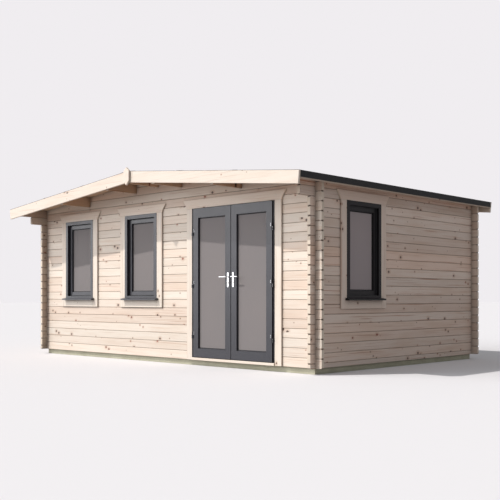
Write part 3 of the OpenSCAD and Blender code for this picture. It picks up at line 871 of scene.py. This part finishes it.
def floor_boards():
    """Boards along the room, with staggered butt joints, round the doorway."""
    low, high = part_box("floor")
    door_low, door_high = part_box("door_frame")
    piece = Piece("floor_planks", [board_wood, board_end], 70)
    count = round((high.y - low.y) / FLOOR_W)
    step = (high.y - low.y) / count
    chance = random.Random(71)
    for i in range(count):
        y0, y1 = low.y + i * step + GAP / 2, low.y + (i + 1) * step - GAP / 2
        stops = [low.x, low.x + 1.2 + 1.1 * (i % 3) + chance.uniform(-0.2, 0.2), high.x]
        if i % 2:
            stops.insert(2, stops[1] + 1.6)
        for a, b in zip(stops, stops[1:]):
            spans = [(a, b)]
            if y0 < door_high.y + GAP:
                spans = [(a, min(b, door_low.x - GAP)), (max(a, door_high.x + GAP), b)]
            for p, q in spans:
                if q - p > 0.02:
                    piece.box((p + GAP / 2, y0, low.z), (q - GAP / 2, y1, high.z), 0.0012, 0, 2,
                        None, (0, 1))
    piece.make("cabin", ["floor"])


def threshold():
    """The board under the doors, with a rounded nose."""
    low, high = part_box("door_threshold")
    piece = Piece("threshold_board", [trim_wood, board_end], 72)
    nose = 0.006
    section = [(low.y, low.z), (high.y, low.z), (high.y, high.z)]
    for k in range(5):
        angle = math.pi / 2 * k / 4
        section.append((low.y + nose - nose * math.sin(angle),
            high.z - nose + nose * math.cos(angle)))
    rings = [[Vector((x, y, z)) for y, z in section] for x in (low.x, high.x)]
    piece.rings(rings, 0, None, (0, 1))
    piece.make("cabin", ["door_threshold"])


floor_boards()
threshold()


# ---------------------------------------------------------------- beads and gaskets


def local_box(node, matrix):
    """A node's lowest and highest corners in the frame of a matrix."""
    inverse = matrix.inverted()
    a, b = [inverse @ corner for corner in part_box(node)]
    return [Vector([pick(a[i], b[i]) for i in range(3)]) for pick in (min, max)]


def round_frame(low, high, profile, pane, sign):
    """Rings of a profile taken round a rectangle, outwards from its edge and off its face."""
    rings = []
    for dx, dz in ((1, 1), (-1, 1), (-1, -1), (1, -1), (1, 1)):
        cx = low.x if dx > 0 else high.x
        cz = low.z if dz > 0 else high.z
        rings.append([Vector((cx + dx * t, pane + sign * out, cz + dz * t)) for t, out in profile])
    return rings


def glazing_beads(name, body, glass_node, matrix, inner):
    """Small beads, with a gasket at their foot, round both sides of a pane. `inner` is how tall
    the bead is inside, where there is less room."""
    low, high = local_box(glass_node, matrix)
    # Window 3's beads take the darker foil as painted shade.
    foil = foil_painted_shade if name.startswith("window_3") else frame_foil
    piece = Piece(name, [foil, rubber], 80)
    for sign, pane, tall in ((-1, low.y, 0.009), (1, high.y, inner)):
        profile = [(0.0004, tall), (0.0036, tall), (0.0052, tall - 0.0016), (0.0052, 0.0004),
            (0.0004, 0.0004)]
        # The black gasket is a real part. It is made wide enough that it also gives painted shade
        # along the pane's edge.
        seal = [(0.0054, 0.0004), (0.0054, 0.0040), (0.0100, 0.0032), (0.0125, 0.0004)]
        for shape, slot in ((profile, 0), (seal, 1)):
            rings = round_frame(low, high, shape, pane, sign)
            piece.rings(rings, 0, matrix, (slot, slot), ends=False)
    piece.make(body)


def sash_seal_and_shade(number):
    """A rubber lip round the front of a sash, where it closes against its frame. It is also painted
    shade: a dark line where the gap between sash and frame lies in shadow.
    """
    matrix, _, _ = wall_matrix(number)
    low, high = local_box(f"window_{number}_sash", matrix)
    piece = Piece(f"window_{number}_seal", [rubber], 84)
    lip = [(0.0004, 0.0004), (0.0004, 0.0030), (0.0060, 0.0040), (0.0095, 0.0022),
        (0.0100, 0.0004)]
    piece.rings(round_frame(low, high, lip, low.y, -1), 0, matrix, (0, 0), ends=False)
    piece.make("cabin")


for number in (1, 2, 3):
    sash_seal_and_shade(number)
    matrix, _, _ = wall_matrix(number)
    glazing_beads(f"window_{number}_beads", "cabin", f"window_{number}_glass", matrix, 0.004)
for side in ("left", "right"):
    door = f"{side}_door"
    glazing_beads(f"{door}_beads", door, f"{door}_glass", Matrix(), 0.0045)


# ---------------------------------------------------------------- hinges


def circle(centre, radius, sides, start=0.0, sweep=math.tau):
    """The points of a circle, or of an arc with both of its ends."""
    whole = sweep == math.tau
    steps = sides if whole else sides + 1
    return [(centre[0] + radius * math.cos(start + sweep * k / sides),
        centre[1] + radius * math.sin(start + sweep * k / sides)) for k in range(steps)]


def rounded(low, high, radius, steps=6):
    """A rectangle with rounded corners, as an outline."""
    corners = ((high[0] - radius, low[1] + radius, -90), (high[0] - radius, high[1] - radius, 0),
        (low[0] + radius, high[1] - radius, 90), (low[0] + radius, low[1] + radius, 180))
    points = []
    for x, y, turn in corners:
        points += circle((x, y), radius, steps, math.radians(turn), math.pi / 2)
    return points


KNUCKLE = 0.044
KNUCKLE_R = 0.008
CAP_R = 0.0062
CAP_H = 0.0016
SCREW_IN = 0.010  # from a hinge's top or foot to its screw
MIDDLE_HINGE = 0.655  # from the foot of the lowest hinge to the foot of the middle one


def hinge_feet(low, high):
    """The feet of a door's three upper knuckles, from the box round them."""
    return low.z, low.z + MIDDLE_HINGE, high.z - KNUCKLE


def leaf_hinges(side):
    """The upper knuckle and the plate of each of a door's three hinges."""
    low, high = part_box(f"{side}_hinges")
    away = 1 if side == "left" else -1
    axis_x = (low.x if away > 0 else high.x) + away * KNUCKLE_R
    axis_y = low.y + KNUCKLE_R
    plate_end = high.x if away > 0 else low.x
    plate_back = high.y
    piece = Piece(f"{side}_hinge_leaves", [hinge_paint, chrome, hinge_steel], 90)
    for foot in hinge_feet(low, high):
        barrel = circle((axis_x, axis_y), KNUCKLE_R, 24)
        piece.plate(barrel, 2, foot, foot + KNUCKLE, 0.0012, 2)
        cap = circle((axis_x, axis_y), CAP_R, 16)
        piece.plate(cap, 2, foot + KNUCKLE, foot + KNUCKLE + CAP_H, 0.0008, 2)
        a, b = sorted((axis_x, plate_end))
        plate = rounded((a, foot), (b, foot + KNUCKLE), 0.004)
        piece.plate(plate, 1, plate_back - 0.004, plate_back, 0.0010, 2, None, (2, 2))
        for z in (foot + SCREW_IN, foot + KNUCKLE - SCREW_IN):
            spot = (plate_end - away * 0.008, plate_back - 0.004, z)
            piece.dome(spot, (0, -1, 0), 0.0032, 0.0009, 10, 1)
    piece.make(f"{side}_door", [f"{side}_hinges"])


def frame_hinges():
    """The lower knuckle, the pin and the post of each hinge, on the door frame."""
    low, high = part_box("frame_hinges")
    piece = Piece("hinge_posts", [hinge_paint, chrome], 91)
    for side, away in (("left", 1), ("right", -1)):
        leaf_low, leaf_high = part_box(f"{side}_hinges")
        axis_x = (leaf_low.x if away > 0 else leaf_high.x) + away * KNUCKLE_R
        axis_y = leaf_low.y + KNUCKLE_R
        outer = low.x if away > 0 else high.x
        a, b = sorted((outer, axis_x - away * 0.0035))
        for leaf_foot in hinge_feet(leaf_low, leaf_high):
            foot = leaf_foot - KNUCKLE - 0.001
            piece.box((a, axis_y, foot), (b, high.y, foot + KNUCKLE), 0.001, 2, 1)
            piece.plate(circle((axis_x, axis_y), KNUCKLE_R, 24), 2, foot, foot + KNUCKLE, 0.0012, 2)
            piece.plate(circle((axis_x, axis_y), CAP_R, 16), 2, foot - CAP_H, foot, 0.0008, 2)
            pin = circle((axis_x, axis_y), 0.0038, 12)
            piece.plate(pin, 2, foot + KNUCKLE, foot + 2 * KNUCKLE - 0.004, 0.0006, 2, None, (1, 1))
            for z in (foot + SCREW_IN, foot + KNUCKLE - SCREW_IN):
                piece.dome(((a + b) / 2, axis_y, z), (0, -1, 0), 0.0030, 0.0009, 10, 1)
    piece.make("cabin", ["frame_hinges"])


for side in ("left", "right"):
    leaf_hinges(side)
frame_hinges()


# ---------------------------------------------------------------- handles


def handle_plates(side):
    """A rounded long plate on each face, with two screws and a lock cylinder."""
    low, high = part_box(f"{side}_plates")
    lever_low, lever_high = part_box(f"{side}_lever")
    lever_z = (lever_low.z + lever_high.z) / 2
    x = (low.x + high.x) / 2
    piece = Piece(f"{side}_handle_plates", [chrome, brass_key, rubber], 95)
    for face, out in ((low.y, -1), (high.y, 1)):
        back = face - out * 0.008
        a, b = sorted((face, back))
        piece.plate(rounded((low.x, low.z), (high.x, high.z), 0.0145, 8), 1, a, b, 0.0045, 2)
        for z in (low.z + 0.014, high.z - 0.014):
            piece.dome((x, face, z), (0, out, 0), 0.0042, 0.0009, 14, 0, 3)
        key_z = lever_z - 0.078
        a, b = sorted((face, face + out * 0.0020))
        piece.plate(circle((x, key_z + 0.009), 0.0085, 20), 1, a, b, 0.0004, 2, None, (1, 1))
        piece.box((x - 0.005, a, key_z - 0.018), (x + 0.005, b, key_z + 0.006), 0.0004, 2, 1,
            None, (1, 1))
        a, b = sorted((face + out * 0.0019, face + out * 0.0023))
        piece.box((x - 0.0012, a, key_z + 0.004), (x + 0.0012, b, key_z + 0.014), 0.0, 2, 1,
            None, (2, 2))
    piece.make(f"{side}_door", [f"{side}_plates"])


def lever(side):
    """A round-necked lever outside and inside, bent out of the spindle and flattened to its tip."""
    low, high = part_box(f"{side}_lever")
    plate_low, plate_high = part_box(f"{side}_plates")
    away = 1 if side == "left" else -1
    spindle = (high.x if away > 0 else low.x) - away * 0.010
    tip = (low.x if away > 0 else high.x) + away * 0.0005
    z = (low.z + high.z) / 2
    arm_r = 0.0085
    neck_r = 0.0078
    bend = 0.014
    piece = Piece(f"{side}_lever_handles", [chrome], 97)
    for end, plate, out in ((low.y, plate_low.y, -1), (high.y, plate_high.y, 1)):
        arm_y = end - out * arm_r
        start = plate + out * 0.0008
        path = [(spindle, y, z) for y in (start, start + out * 0.003, start + out * 0.0034,
            arm_y - out * bend)]
        radii = [0.0099, 0.0099, neck_r, neck_r]
        for k in range(1, 7):
            turn = math.pi / 2 * k / 6
            path.append((spindle - away * bend * (1 - math.cos(turn)),
                arm_y - out * bend * (1 - math.sin(turn)), z))
            radii.append(neck_r)
        reach = abs(spindle - tip) - bend
        for k in range(1, 9):
            part = k / 9
            path.append((spindle - away * (bend + reach * part), arm_y, z))
            radii.append(neck_r - 0.0016 * part)
        for step, radius in ((0.94, 0.0058), (0.975, 0.0048), (0.993, 0.0030), (1.0, 0.0010)):
            path.append((spindle - away * (bend + reach * step), arm_y, z))
            radii.append(radius)
        piece.tube(path, radii, 20, 1.08)
    half = 0.0035
    piece.box((spindle - half, plate_low.y - 0.001, z - half),
        (spindle + half, plate_high.y + 0.001, z + half))
    piece.make(f"{side}_handle", [f"{side}_lever"])


for side in ("left", "right"):
    handle_plates(side)
    lever(side)


# ---------------------------------------------------------------- stage, camera and light


def stage_floor():
    """A pale floor to the camera and to mirrors, and a dimmer one to the light it sends back."""
    g = Graph("stage_floor")
    pale = g.shader("ShaderNodeBsdfDiffuse", Color=colour(0.755, 0.742, 0.765))
    glow = g.shader("ShaderNodeEmission", Color=colour(0.03, 0.03, 0.03))
    dim = g.shader("ShaderNodeBsdfDiffuse", Color=colour(0.30, 0.295, 0.30))
    both = g.wire(g.node("ShaderNodeAddShader"), pale, glow)
    material = g.show(g.wire(g.node("ShaderNodeMixShader"), g.seen(), dim, both))
    mesh = bpy.data.meshes.new("stage_floor")
    far = 150.0
    corners = [(-far, -far, 0), (far, -far, 0), (far, far, 0), (-far, far, 0)]
    mesh.from_pydata(corners, [], [(0, 1, 2, 3)])
    mesh.materials.append(material)
    made = bpy.data.objects.new("stage_floor", mesh)
    bpy.context.scene.collection.objects.link(made)


def world_light():
    """A pale backdrop to the camera and in mirrors, and a soft sky as the light."""
    world = bpy.data.worlds.new("studio")
    bpy.context.scene.world = world
    g = Graph("studio", world)
    sky = g.shader("ShaderNodeBackground", Color=colour(0.95, 0.97, 1.0), Strength=0.37)
    backdrop = g.shader("ShaderNodeBackground", Color=colour(0.871, 0.847, 0.871), Strength=1.0)
    g.show(g.wire(g.node("ShaderNodeMixShader"), g.seen(), sky, backdrop), "World")


def sun(name, travels, strength, angle, tone):
    """A lamp whose light travels along a direction and spreads over an angle in degrees."""
    lamp = bpy.data.lights.new(name, "SUN")
    lamp.energy = strength
    lamp.angle = math.radians(angle)
    lamp.color = tone
    made = bpy.data.objects.new(name, lamp)
    made.rotation_euler = Vector(travels).to_track_quat("-Z", "Y").to_euler()
    bpy.context.scene.collection.objects.link(made)


def photo_camera():
    """The camera at the photograph's place and angle."""
    camera = bpy.data.cameras.new("camera")
    camera.lens = 60.33
    camera.sensor_width = 36.0
    camera.shift_y = 0.0965
    camera.clip_end = 400.0
    made = bpy.data.objects.new("camera", camera)
    made.location = (8.826, front_face - 7.382, 0.873)
    made.rotation_euler = (math.pi / 2, 0, math.radians(43.819))
    bpy.context.scene.collection.objects.link(made)
    bpy.context.scene.camera = made


stage_floor()
world_light()
sun("sun", (0.362, 0.524, -0.771), 2.40, 0.8, (1.0, 0.968, 0.92))
sun("left_fill", (0.70, 0.68, -0.20), 2.76, 60.0, (0.985, 0.99, 1.0))
photo_camera()
bpy.context.scene.view_settings.view_transform = "Standard"
